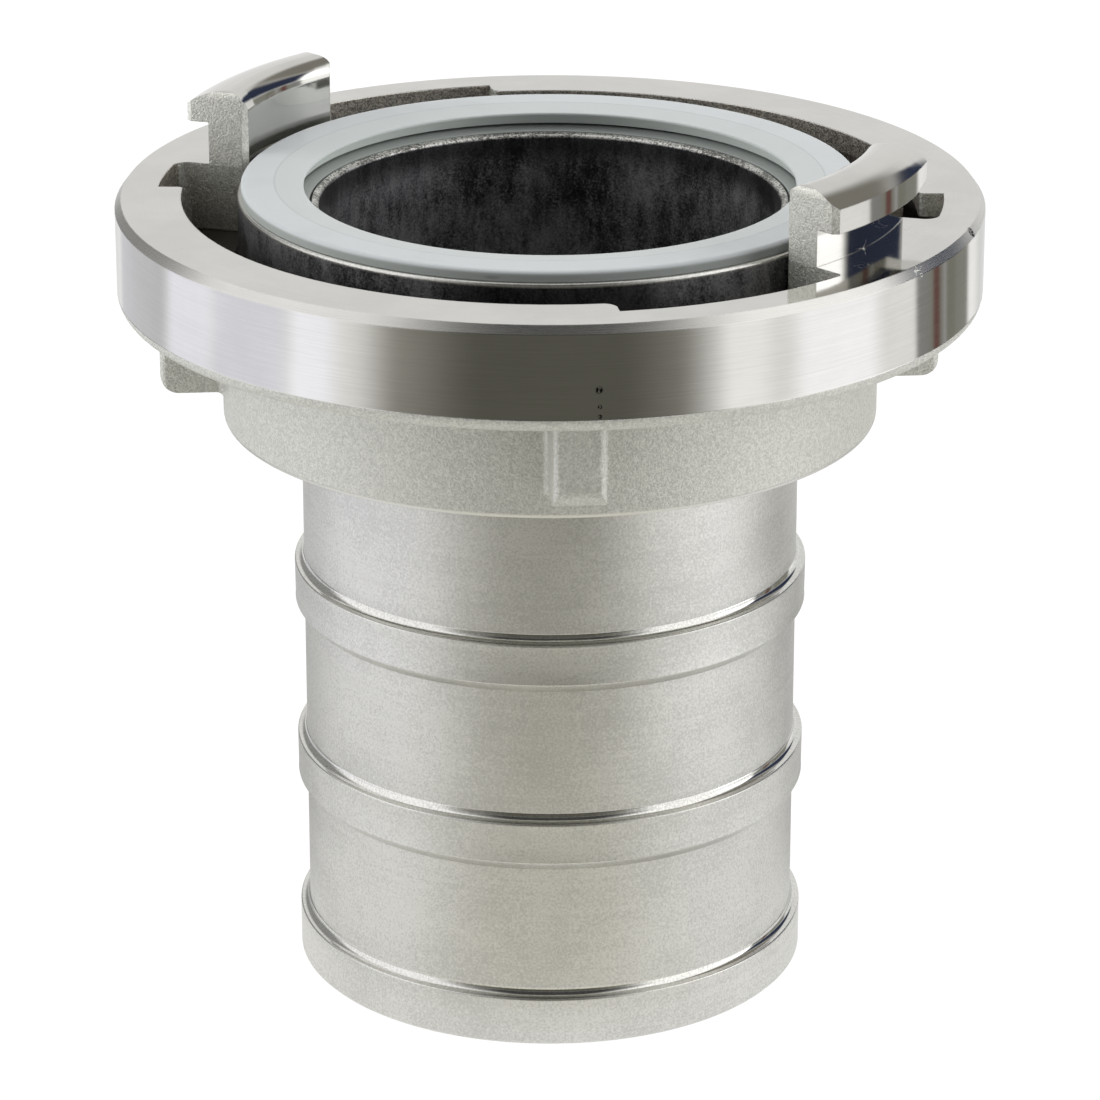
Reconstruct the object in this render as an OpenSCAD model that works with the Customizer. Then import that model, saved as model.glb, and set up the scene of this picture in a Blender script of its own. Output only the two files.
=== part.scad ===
/* [Hose tail] */
// Diameter of the water way through the tail
bore_d = 67; // [50:0.5:100]
// Wall of the shank between the ribs
shank_wall = 3.1; // [2:0.1:6]
// How far the hose ribs stand out from the shank
rib_stand = 1.4; // [0.5:0.1:3]
// Number of hose ribs
rib_count = 3; // [1:1:5]
// Distance from one rib to the next
rib_pitch = 27.8; // [16:0.1:40]
// Height of the cylindrical land on each rib
rib_land = 6.1; // [3:0.1:10]
// Height of the steep shoulder above each land
rib_shoulder = 1.2; // [0.5:0.1:3]
// Height of the slope below each land
rib_slope = 1.5; // [0.5:0.1:4]
// Height of the land at the open end of the tail
end_land = 7.4; // [4:0.1:12]
// Chamfer on the outer edge of the open end
end_chamfer = 0.5; // [0.2:0.1:1.5]
// Plain length from the top rib to the collar
neck_h = 23; // [6:0.5:60]

/* [Head of the tail] */
// How far the bearing stands out from the ribs, so that the claw ring slides on over them
bearing_step = 0.6; // [0.3:0.1:3]
// How far the head reaches out beyond the bearing
head_reach = 6.7; // [6:0.1:9]
// Height of the head above the shoulder that it sits on
head_h = 13.2; // [12:0.1:16]
// How far the head stands above the face of the claw ring
head_stand = 0.3; // [0:0.1:1]
// Rounding of the head's upper outer edge
head_edge = 0.5; // [0.2:0.1:1]
// Depth of the seal groove
groove_h = 6.4; // [4:0.1:8]
// Wall of the head outside the seal groove
head_wall = 2.1; // [1.5:0.1:3]
// Thickness of the wall between seal groove and water way
inner_wall = 1.1; // [0.8:0.1:1.6]
// Depth of the inner wall's edge below the top of the head
inner_drop = 1.5; // [1.2:0.1:3]

/* [Claw ring] */
// Height of the claw ring from the collar's end to its face
ring_h = 33; // [31:0.5:45]
// Height of the rim
rim_h = 15.3; // [14:0.1:17]
// Chamfer of the rim's upper edge, measured across the face
face_edge = 0.9; // [0.3:0.1:2]
// Chamfer of the rim's upper edge, measured down the side
face_edge_h = 1.2; // [0.3:0.1:2]
// Rounding of the rim's lower edge
rim_round = 2; // [0.5:0.1:3]
// Wall of the collar outside its recess
collar_wall = 5; // [3:0.1:8]
// Rounding where the collar meets the rim
collar_fillet = 2; // [0.5:0.1:4]
// Edge rounding at the collar's end
collar_edge = 0.5; // [0.2:0.1:1]
// Depth of the pockets below the face
pocket_h = 10.2; // [9:0.1:11]
// Clearance between the pocket's wall and the tip of a hook, measured outwards
pocket_gap = 1.5; // [0.5:0.1:3]
// Wall of the rim outside the pockets
rim_wall = 6; // [4:0.1:10]
// Clearance between the overhanging lip and the stem of a claw, measured outwards
lip_gap = 1.35; // [0.5:0.05:2]
// Thickness of the overhanging lip at the middle of its ramp
lip_t = 3; // [2:0.1:5]
// Slope of the wedge ramp under the lip, in degrees
ramp_angle = 0.75; // [0:0.05:1.5]
// Rounding of the lip's corner at the entry
lip_corner = 2; // [0.5:0.1:3]
// Rounding of the lip's corner at the notch
stop_corner = 0.8; // [0.3:0.1:2]
// Rounding of the notch's corner beside the claw
notch_corner = 2.2; // [0.5:0.1:3]
// Rounding of the entry's corner beside the claw
entry_corner = 1; // [0.3:0.1:3]

/* [Claws] */
// Angle that each claw covers, in degrees
claw_span = 30; // [20:0.5:36]
// Middle of the first claw, in degrees from +X
claw_turn = -30; // [-180:1:180]
// Angle of the notch at each claw's leading end, in degrees
notch_span = 13.3; // [6:0.1:20]
// Angle that the wide entry leaves free beside the other claw, in degrees
entry_gap = 5.5; // [3:0.5:14]
// Clearance between the head and the inner faces of the claws, measured outwards
claw_gap = 0.8; // [0.4:0.1:2]
// Thickness of the claw stems
stem_t = 5.95; // [4:0.05:8]
// How far the hooks reach out beyond the stems
hook_reach = 3.45; // [2:0.05:5]
// Height of the claws above the face
claw_h = 11.05; // [9:0.05:14]
// Height of the underside of the hooks above the face
hook_h = 5.3; // [3:0.1:7]
// Radius of the broad crown on top of the claws
crown_r = 9.7; // [8:0.1:20]
// Radius of the inner shoulder of the crown
crown_in_r = 3.2; // [1:0.1:4]
// Rise of the lead-in under each hook
lead_rise = 1; // [0.2:0.1:2]
// Angle that the lead-in covers, in degrees
lead_span = 8; // [3:0.5:10]
// Rounding of the upper ends of the claws
claw_end_r = 1.2; // [0.4:0.1:2.5]
// Chamfer on the upright edges of the claws
claw_chamfer = 0.8; // [0.2:0.1:1.5]

/* [Spanner lugs] */
// Number of spanner lugs
lug_count = 4; // [2:1:6]
// Angle of the first lug, in degrees from +X
lug_turn = 4.2; // [-45:0.1:45]
// How far the lugs reach out beyond the collar
lug_reach = 9.1; // [5:0.1:12]
// Width of a lug
lug_w = 7.4; // [5:0.1:14]
// Height that a lug stands above the collar's end
lug_rise = 4.5; // [1:0.1:10]
// Rounding of the upright edges of the lugs
lug_edge = 1.1; // [0.3:0.1:2]
// Rounding at the foot of the lugs
lug_fillet = 1.1; // [0.3:0.1:2]
// Rounding of the lower outer corner of the lugs
lug_corner = 2.7; // [0.5:0.1:4]

/* [Seal] */
// Distance from the edge of the head to the seal's flange
seal_margin = 0.5; // [0.3:0.1:1.5]
// Distance from the thin wall to the edge of the seal's lip, measured outwards
lip_set = 0.9; // [0.5:0.1:2]
// Height of the seal above the top of the head
seal_h = 1.65; // [1:0.05:3]
// Rounding of the flange's upper edge
seal_round = 0.8; // [0.3:0.1:1.2]
// Width of the band that falls towards the lip
seal_fall_w = 4.4; // [2:0.1:6]
// Fall of the face from there to the lip
seal_fall = 0.55; // [0:0.05:1]
// Distance from the edge of the lip to the mouth of the lip groove, measured outwards
mouth_set = 1.3; // [0.5:0.1:2]
// Rise of the seal from the edge of the thin wall to the lip groove
seal_rise = 0.35; // [0.1:0.05:0.6]
// Height of the mouth of the lip groove
seal_gap = 0.4; // [0.3:0.1:1]
// Depth of the lip groove, measured outwards
seal_slot = 3.4; // [1:0.1:4]

/* [Snap ring and fits] */
// Wire diameter of the snap ring
wire_d = 3; // [2:0.1:4]
// Gap of the split snap ring, in degrees
wire_gap = 10; // [6:1:30]
// Direction of the snap ring's gap, in degrees from +X
wire_turn = 90; // [-180:5:180]
// Clearance round the snap ring in the recess at the collar's end, measured outwards
recess_gap = 2.6; // [1:0.1:5]
// Depth of that recess
recess_h = 6.5; // [5:0.1:8]
// Radial running clearance of the claw ring on its bearing
running_gap = 0.06; // [0.02:0.01:0.1]
// Clearance between pieces that lie loosely beside each other
loose_gap = 0.3; // [0.25:0.05:0.5]

/* [Hidden] */
// Facets of a large circle and of a small one
$fn = 180;
small_fn = 64;
// A tiny and a larger overlap of joined shapes, an overlap in degrees, and a length past any edge
eps = 0.01;
lap = 0.5;
lap_a = 1;
over = 20;
// How far a rounding seen from above crosses its walls, so that no two lines just touch
bite = 0.02;

// Levels, from the open end of the tail upwards
top_rib_z = end_land + (rib_count - 1) * rib_pitch;
collar_z = top_rib_z + neck_h;
face_z = collar_z + ring_h;
head_top_z = face_z + head_stand;
head_under_z = head_top_z - head_h;
shoulder_z = head_under_z - loose_gap;
recess_z = collar_z + recess_h;
groove_z = head_top_z - groove_h;
inner_edge_z = head_top_z - inner_drop;
floor_z = face_z - pocket_h;
rim_z = face_z - rim_h;
crown_z = face_z + claw_h;
hook_z = face_z + hook_h;
lug_z = collar_z + lug_rise;
seal_z = head_top_z + seal_h;

// Radii
bore_r = bore_d / 2;
shank_r = bore_r + shank_wall;
rib_r = shank_r + rib_stand;
bearing_r = rib_r + bearing_step;
head_r = bearing_r + head_reach;
groove_r = head_r - head_wall;
claw_in_r = head_r + claw_gap;
stem_r = claw_in_r + stem_t;
hook_r = stem_r + hook_reach;
crown_mid_r = claw_in_r + crown_in_r;
lip_r = stem_r + lip_gap;
pocket_r = hook_r + pocket_gap;
ring_r = pocket_r + rim_wall;

// The snap ring lies under the shoulder of the recess, half sunk in the tail
wire_r = wire_d / 2;
wire_z = recess_z - loose_gap - wire_r;
wire_ring_r = bearing_r + loose_gap;
recess_r = wire_ring_r + wire_r + recess_gap;
collar_r = recess_r + collar_wall;
lug_r = collar_r + lug_reach;
wire_groove_r = wire_r + loose_gap;
bearing_end_z = wire_z - wire_groove_r - wire_r / 2;
bearing_slope = bearing_r - shank_r;

// The seal groove has a thin wall round the water way, whose edge slopes inwards
groove_in_r = bore_r + inner_wall;
inner_slope = inner_wall / 4;
end_slope = 0.8;

// Angles round one half of the ring, from the leading end of a claw to the next claw
claw_lead = claw_turn + claw_span / 2;
claw_trail = claw_turn - claw_span / 2;
next_claw = claw_trail + 180;
lip_stop = claw_lead + notch_span;
lip_start = next_claw - claw_span - entry_gap;
lip_mid = (lip_stop + lip_start) / 2;

// The ring is alike on both sides, half a turn apart
module both_sides() {
    for (turn = [0, 180]) rotate([0, 0, turn]) children();
}

// A point on a circle about the axis
function on_circle(r, a) = [r * cos(a), r * sin(a)];

// What a rounding takes off the corner between a radial plane and a wall about the axis, in plan.
// The rounding lies outside the wall for out = 1 and inside it for out = -1, and it lies towards
// larger angles for side = 1 and smaller ones for side = -1. It crosses both by a small bite
module plan_corner(plane_a, wall_r, r, out, side) {
    mid_r = wall_r + out * (r - bite);
    mid_a = plane_a + side * asin((r - bite) / mid_r);
    past_r = wall_r - out * lap;
    past_a = plane_a - side * lap_a;
    difference() {
        polygon([
            on_circle(mid_r, mid_a),
            on_circle(past_r, mid_a),
            on_circle(past_r, past_a),
            on_circle(mid_r, past_a)
        ]);
        translate(on_circle(mid_r, mid_a)) circle(r = r, $fn = small_fn);
    }
}

// Fills the corner of a pocket beside a claw, from the floor to the face
module pocket_corner(plane_a, r, side) {
    translate([0, 0, floor_z - lap]) linear_extrude(height = pocket_h + lap)
        plan_corner(plane_a, pocket_r, r, -1, side);
}

// Outline of one hose rib with its land and slopes, from below
function rib_outline(land_z) = [
    [shank_r, land_z - rib_land - rib_slope],
    [rib_r, land_z - rib_land],
    [rib_r, land_z],
    [shank_r, land_z + rib_shoulder]
];

// Half section of the hose tail, before the grooves are cut
module tail_section() {
    polygon(concat(
        // Open end with its land
        [
            [bore_r + end_slope, 0],
            [rib_r - end_chamfer, 0],
            [rib_r, end_chamfer],
            [rib_r, end_land],
            [shank_r, end_land + rib_shoulder]
        ],
        [for (i = [1 : 1 : rib_count - 1]) each rib_outline(end_land + i * rib_pitch)],
        // Bearing section, head, and the thin wall round the water way
        [
            [shank_r, bearing_end_z - bearing_slope],
            [bearing_r, bearing_end_z],
            [bearing_r, head_under_z],
            [head_r, head_under_z],
            [head_r, head_top_z - head_edge],
            [head_r - head_edge, head_top_z],
            [groove_r, head_top_z],
            [groove_r, groove_z],
            [groove_in_r, groove_z],
            [groove_in_r, inner_edge_z],
            [bore_r, inner_edge_z - inner_slope],
            [bore_r, end_slope]
        ]
    ));
    // Rounding of the head's upper outer edge
    translate([head_r - head_edge, head_top_z - head_edge]) circle(r = head_edge, $fn = small_fn);
}

// Hose tail with its head: one turned piece
module tail_piece() {
    color("silver") rotate_extrude() difference() {
        tail_section();
        // Round groove of the snap ring
        translate([wire_ring_r, wire_z]) circle(r = wire_groove_r, $fn = small_fn);
    }
}

// Half section of the ring without its pockets
module ring_section() {
    // Rim, with a chamfer above and a rounding below
    polygon([
        [claw_in_r, rim_z],
        [ring_r - rim_round, rim_z],
        [ring_r - rim_round, rim_z + rim_round],
        [ring_r, rim_z + rim_round],
        [ring_r, face_z - face_edge_h],
        [ring_r - face_edge, face_z],
        [claw_in_r, face_z]
    ]);
    translate([ring_r - rim_round, rim_z + rim_round]) circle(r = rim_round, $fn = small_fn);
    // Wall under the head's shoulder
    translate([bearing_r + running_gap, recess_z])
        square([collar_r - bearing_r - running_gap, shoulder_z - recess_z]);
    // Wall round the recess, with its lower edge rounded
    translate([recess_r, collar_z + collar_edge]) square([collar_wall, recess_h + eps]);
    translate([recess_r, collar_z]) square([collar_wall - collar_edge, 2 * collar_edge]);
    translate([collar_r - collar_edge, collar_z + collar_edge]) circle(r = collar_edge, $fn = small_fn);
    // Fillet between the collar and the rim
    difference() {
        translate([collar_r - eps, rim_z - collar_fillet])
            square([collar_fillet + eps, collar_fillet + eps]);
        translate([collar_r + collar_fillet, rim_z - collar_fillet])
            circle(r = collar_fillet, $fn = small_fn);
    }
}

// Section of a claw without its hook: the block down to the pocket floor, the stem and the crown
module stem_section() {
    crown_low_z = crown_z - crown_in_r;
    translate([claw_in_r, floor_z]) square([pocket_r + lap - claw_in_r, pocket_h]);
    translate([claw_in_r, face_z - lap]) square([stem_r - claw_in_r, crown_low_z - face_z + lap]);
    intersection() {
        translate([crown_mid_r, crown_low_z]) circle(r = crown_in_r, $fn = small_fn);
        translate([claw_in_r, crown_low_z - eps]) square([crown_in_r + eps, crown_in_r + eps]);
    }
}

// Section of the hook, under the outer part of the crown
module hook_section() {
    intersection() {
        translate([crown_mid_r, crown_z - crown_r]) circle(r = crown_r);
        translate([crown_mid_r, hook_z]) square([hook_r - crown_mid_r, claw_h]);
    }
}

// Chamfer of an upright edge at a radius, on the XZ plane, from a level to above the claws
module upright_chamfer(r, z0) {
    side = claw_chamfer * sqrt(2);
    translate([r, 0, z0]) rotate([0, 0, 45]) translate([-side / 2, -side / 2, 0])
        cube([side, side, crown_z + lap - z0]);
}

// What is cut off one end of a claw. The end face is the XZ plane and the claw is at +Y
module claw_end_cut() {
    // Rounding of the upper end
    difference() {
        translate([claw_in_r - lap, -claw_end_r, crown_z - claw_end_r])
            cube([hook_r + 2 * lap - claw_in_r, 2 * claw_end_r, 2 * claw_end_r]);
        translate([0, claw_end_r, crown_z - claw_end_r]) rotate([0, 90, 0])
            cylinder(r = claw_end_r, h = ring_r, $fn = small_fn);
    }
    upright_chamfer(hook_r, face_z + hook_h / 2);
    upright_chamfer(claw_in_r, floor_z - lap);
}

// Hook with its lead-in: a slope that rises towards the leading end
module hook() {
    lead_len = hook_r * sin(lead_span);
    lead_h = 2 * lead_rise;
    difference() {
        rotate([0, 0, claw_trail]) rotate_extrude(angle = claw_span) hook_section();
        rotate([0, 0, claw_lead]) translate([0, 0, hook_z + lead_rise])
            rotate([atan2(lead_rise, lead_len), 0, 0])
                translate([0, -2 * lead_len, -lead_h]) cube([ring_r, 3 * lead_len, lead_h]);
    }
}

// One claw with its block, cut to shape at both ends
module claw() {
    difference() {
        union() {
            hook();
            rotate([0, 0, claw_trail]) rotate_extrude(angle = claw_span) stem_section();
        }
        rotate([0, 0, claw_trail]) claw_end_cut();
        rotate([0, 0, claw_lead]) mirror([0, 1, 0]) claw_end_cut();
    }
}

// Plan of a lip, with its corners rounded
module lip_plan() {
    out_r = pocket_r + lap;
    far_r = 2 * out_r;
    difference() {
        intersection() {
            circle(r = out_r);
            polygon([
                [0, 0],
                on_circle(far_r, lip_stop),
                on_circle(far_r, lip_mid),
                on_circle(far_r, lip_start)
            ]);
        }
        circle(r = lip_r);
        plan_corner(lip_start, lip_r, lip_corner, 1, -1);
        plan_corner(lip_stop, lip_r, stop_corner, 1, 1);
    }
}

// Overhanging lip between the notch and the entry. Its underside is the wedge ramp, and the lip is
// thinnest at the entry, where the other claw comes in
module lip() {
    difference() {
        translate([0, 0, face_z - 2 * lip_t]) linear_extrude(height = 2 * lip_t) lip_plan();
        rotate([0, 0, lip_mid]) translate([0, 0, face_z - lip_t]) rotate([ramp_angle, 0, 0])
            translate([-2 * ring_r, -2 * ring_r, -over]) cube([4 * ring_r, 4 * ring_r, over]);
    }
}

// Spanner lug along +X, from the collar outwards
module lug() {
    foot_y = lug_w / 2 + lug_fillet;
    foot_r = collar_r + lug_fillet;
    foot_x = sqrt(foot_r * foot_r - foot_y * foot_y);
    root_r = collar_r - collar_wall / 2;
    in_scale = root_r / foot_r;
    half_a = 2 * asin(lug_w / lug_r);
    top_z = rim_z + lap;
    intersection() {
        // Plan: upright edges rounded, and a fillet at each side of the foot
        translate([0, 0, collar_z]) linear_extrude(height = top_z - collar_z) {
            difference() {
                polygon([
                    [foot_x * in_scale, -foot_y * in_scale],
                    [foot_x, -foot_y],
                    [foot_x, foot_y],
                    [foot_x * in_scale, foot_y * in_scale]
                ]);
                for (y = [-foot_y, foot_y]) translate([foot_x, y]) circle(r = lug_fillet, $fn = small_fn);
            }
            translate([foot_x - eps, -lug_w / 2]) square([lug_r - lug_edge - foot_x + eps, lug_w]);
            translate([foot_x, lug_edge - lug_w / 2])
                square([lug_r - foot_x, lug_w - 2 * lug_edge]);
            for (y = [lug_edge - lug_w / 2, lug_w / 2 - lug_edge])
                translate([lug_r - lug_edge, y]) circle(r = lug_edge, $fn = small_fn);
        }
        // Side view: lower outer corner rounded, and a fillet along the collar below
        union() {
            translate([0, lug_w, 0]) rotate([90, 0, 0]) linear_extrude(height = 2 * lug_w) {
                translate([root_r, lug_z]) square([lug_r - root_r - lug_corner, top_z - lug_z]);
                translate([root_r, lug_z + lug_corner])
                    square([lug_r - root_r, top_z - lug_z - lug_corner]);
                translate([lug_r - lug_corner, lug_z + lug_corner]) circle(r = lug_corner, $fn = small_fn);
            }
            rotate([0, 0, -half_a]) rotate_extrude(angle = 2 * half_a) difference() {
                translate([collar_r - lap, lug_z - lug_fillet]) square([lap + lug_fillet, lug_fillet + eps]);
                translate([collar_r + lug_fillet, lug_z - lug_fillet]) circle(r = lug_fillet, $fn = small_fn);
            }
        }
    }
}

// Claw ring: one forging with two hooked claws, two undercut pockets, a collar and spanner lugs
module claw_ring() {
    color("gainsboro") {
        // Ring with a channel all round, which the claws and lips divide into pockets
        rotate_extrude() difference() {
            ring_section();
            translate([claw_in_r - lap, floor_z]) square([pocket_r - claw_in_r + lap, pocket_h + lap]);
        }
        both_sides() {
            claw();
            lip();
            pocket_corner(claw_lead, notch_corner, 1);
            pocket_corner(claw_trail, entry_corner, -1);
        }
        for (i = [0 : 1 : lug_count - 1]) rotate([0, 0, lug_turn + i * 360 / lug_count]) lug();
    }
}

// Lip seal: a flange over the head, and a lip groove that opens to the water way
module seal() {
    in_r = groove_in_r + loose_gap;
    out_r = groove_r - loose_gap;
    flange_r = head_r - seal_margin;
    edge_r = groove_in_r + lip_set;
    mouth_r = edge_r + mouth_set;
    mouth_z = inner_edge_z + seal_rise;
    slot_r = mouth_r + seal_slot - seal_gap / 2;
    color("lightslategray") rotate_extrude() {
        difference() {
            union() {
                // Body in the groove, with its inner edge beside the thin wall
                polygon([
                    [in_r, groove_z + loose_gap],
                    [out_r, groove_z + loose_gap],
                    [out_r, head_top_z + eps],
                    [mouth_r, head_top_z + eps],
                    [mouth_r, mouth_z],
                    [in_r, inner_edge_z]
                ]);
                // Flange and lip
                polygon([
                    [mouth_r, mouth_z + seal_gap / 2],
                    [mouth_r + seal_gap, mouth_z + seal_gap / 2],
                    [mouth_r + seal_gap, head_top_z],
                    [flange_r, head_top_z],
                    [flange_r, seal_z - seal_round],
                    [flange_r - seal_round, seal_z - seal_round],
                    [flange_r - seal_round, seal_z],
                    [edge_r + seal_fall_w, seal_z],
                    [edge_r, seal_z - seal_fall]
                ]);
                translate([flange_r - seal_round, seal_z - seal_round])
                    circle(r = seal_round, $fn = small_fn);
            }
            // Lip groove
            translate([mouth_r - over, mouth_z]) square([slot_r - mouth_r + over, seal_gap]);
            translate([slot_r, mouth_z + seal_gap / 2]) circle(r = seal_gap / 2, $fn = small_fn);
        }
    }
}

// Split ring of round wire, which keeps the claw ring on the tail
module snap_ring() {
    color("dimgray") rotate([0, 0, wire_turn + wire_gap / 2]) rotate_extrude(angle = 360 - wire_gap)
        translate([wire_ring_r, wire_z]) circle(r = wire_r, $fn = small_fn);
}

tail_piece();
claw_ring();
seal();
snap_ring();
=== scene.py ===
"""Looks of the hose coupling: a turned hose tail, a forged claw ring, a rubber lip seal and a snap ring."""

import logging
import math
from dataclasses import dataclass, field
from enum import Enum
from typing import Any, ClassVar, Iterable, Sequence

import bpy
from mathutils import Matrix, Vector


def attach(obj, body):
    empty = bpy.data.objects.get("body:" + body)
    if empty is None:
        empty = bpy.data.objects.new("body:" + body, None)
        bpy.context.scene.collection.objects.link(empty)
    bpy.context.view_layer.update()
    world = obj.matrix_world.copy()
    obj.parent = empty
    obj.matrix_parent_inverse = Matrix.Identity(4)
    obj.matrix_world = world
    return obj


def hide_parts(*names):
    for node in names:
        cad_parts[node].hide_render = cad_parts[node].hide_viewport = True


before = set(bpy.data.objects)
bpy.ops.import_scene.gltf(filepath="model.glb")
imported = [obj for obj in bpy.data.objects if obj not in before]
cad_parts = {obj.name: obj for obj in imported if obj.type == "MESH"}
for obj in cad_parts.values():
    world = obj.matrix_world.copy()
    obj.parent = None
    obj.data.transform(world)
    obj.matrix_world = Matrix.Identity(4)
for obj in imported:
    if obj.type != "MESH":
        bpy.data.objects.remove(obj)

LOG = logging.getLogger("hose_coupling")
MM = 0.001
SPOT_CORE = 0.6
AXIS_GAP = 0.0001
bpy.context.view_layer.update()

Colour = tuple[float, float, float]
Point = tuple[float, float]
Place = tuple[float, float, float]
Mark = tuple[Place, float]
Socket = bpy.types.NodeSocket


class Space(Enum):
    """Where a pattern is read: at a point of the piece or along its surface normal."""

    OBJECT = "Object"
    NORMAL = "Normal"


class Corner(Enum):
    """How a corner of a turned outline is treated."""

    SHARP = 0.0
    BROKEN = 0.12
    SOFT = 0.25
    ROUND = 0.5


def placed(name: str, data: bpy.types.ID) -> bpy.types.Object:
    """Makes an object for its data and links it to the scene.

    Args:
        name: Name of the object.
        data: Its mesh, curve, lamp or camera.

    Returns:
        The object, at the origin.
    """
    made = bpy.data.objects.new(name, data)
    bpy.context.scene.collection.objects.link(made)
    return made


def scaled(colour: Colour, factor: float) -> Colour:
    """A colour made lighter or darker by one factor."""
    return (colour[0] * factor, colour[1] * factor, colour[2] * factor)


@dataclass(frozen=True)
class Pattern:
    """A noise pattern: cells to the metre, number of finer layers, and their strength."""

    scale: float
    detail: float = 3.0
    rough: float = 0.5


class Value:
    """A shader socket that can be used in arithmetic. Each operator adds one Math node."""

    def __init__(self, graph: "Graph", socket: Socket) -> None:
        """Wraps a socket.

        Args:
            graph: The graph that new nodes are added to.
            socket: The output socket that holds the value.
        """
        self.graph = graph
        self.socket = socket

    def __add__(self, other: "Value | float") -> "Value":
        """Sum."""
        return self.graph.math("ADD", self, other)

    __radd__ = __add__

    def __sub__(self, other: "Value | float") -> "Value":
        """Difference."""
        return self.graph.math("SUBTRACT", self, other)

    def __rsub__(self, other: "Value | float") -> "Value":
        """Difference, with this value taken away."""
        return self.graph.math("SUBTRACT", other, self)

    def __mul__(self, other: "Value | float") -> "Value":
        """Product."""
        return self.graph.math("MULTIPLY", self, other)

    __rmul__ = __mul__

    def __truediv__(self, other: "Value | float") -> "Value":
        """Quotient."""
        return self.graph.math("DIVIDE", self, other)

    def __abs__(self) -> "Value":
        """Size without sign."""
        return self.graph.math("ABSOLUTE", self)

    def most(self, other: "Value | float") -> "Value":
        """The larger of two values."""
        return self.graph.math("MAXIMUM", self, other)

    def least(self, other: "Value | float") -> "Value":
        """The smaller of two values."""
        return self.graph.math("MINIMUM", self, other)

    def rise(self, low: float, high: float) -> "Value":
        """A soft step.

        Args:
            low: Where the step is 0.
            high: Where the step is 1. Below low, it gives a falling step.

        Returns:
            A value from 0 to 1.
        """
        made = self.graph.node(
            "ShaderNodeMapRange",
            {"interpolation_type": "SMOOTHSTEP", "clamp": True},
            {"Value": self, "From Min": low, "From Max": high, "To Min": 0.0, "To Max": 1.0},
        )
        return Value(self.graph, made.outputs["Result"])

    def band(self, low: float, high: float, soft: float) -> "Value":
        """A soft window.

        Args:
            low: Lower level.
            high: Upper level.
            soft: Width of each edge.

        Returns:
            1 between the levels and 0 outside them.
        """
        return self.rise(low - soft / 2, low + soft / 2) * self.rise(high + soft / 2, high - soft / 2)


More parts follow.
